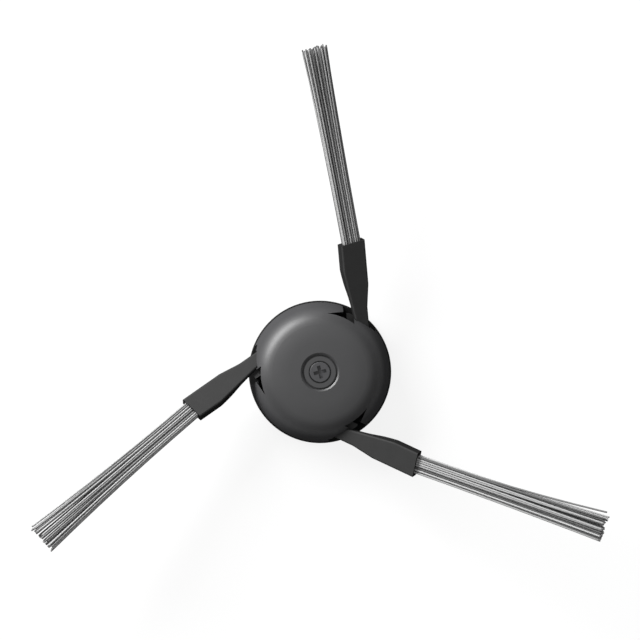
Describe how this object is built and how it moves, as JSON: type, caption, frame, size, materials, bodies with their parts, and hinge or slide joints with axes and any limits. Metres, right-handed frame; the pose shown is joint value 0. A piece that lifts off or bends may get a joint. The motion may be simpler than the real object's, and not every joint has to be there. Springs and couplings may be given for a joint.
{
  "type": "robot vacuum side brush",
  "caption": "Side brush of a robot vacuum: a round domed hub with a square drive socket beneath, and swirled soft arms that each hold a flat tuft of bristles.",
  "frame": {"origin": "on the hub's axis, in the mouth of the drive socket, level with the hub's lowest face", "axes": "+Z along the hub's axis towards the dome, +Y roughly along the first arm, +X to its right"},
  "size_m": [0.1528, 0.1342, 0.0269],
  "materials": {
    "hub_plastic": "satin",
    "base_plastic": "satin",
    "arm_rubber": "matte",
    "bristle_nylon": "satin",
    "screw_steel": "satin",
    "retainer_nylon": "satin"
  },
  "bodies": {
    "root": {"hub_cover": "hub_plastic", "hub_base": "base_plastic", "fixing_screw": "screw_steel", "screw_retainer": "retainer_nylon", "arm_1": "arm_rubber", "bristle_tuft_1": "bristle_nylon", "arm_2": "arm_rubber", "bristle_tuft_2": "bristle_nylon", "arm_3": "arm_rubber", "bristle_tuft_3": "bristle_nylon"}
  },
  "joints": []
}
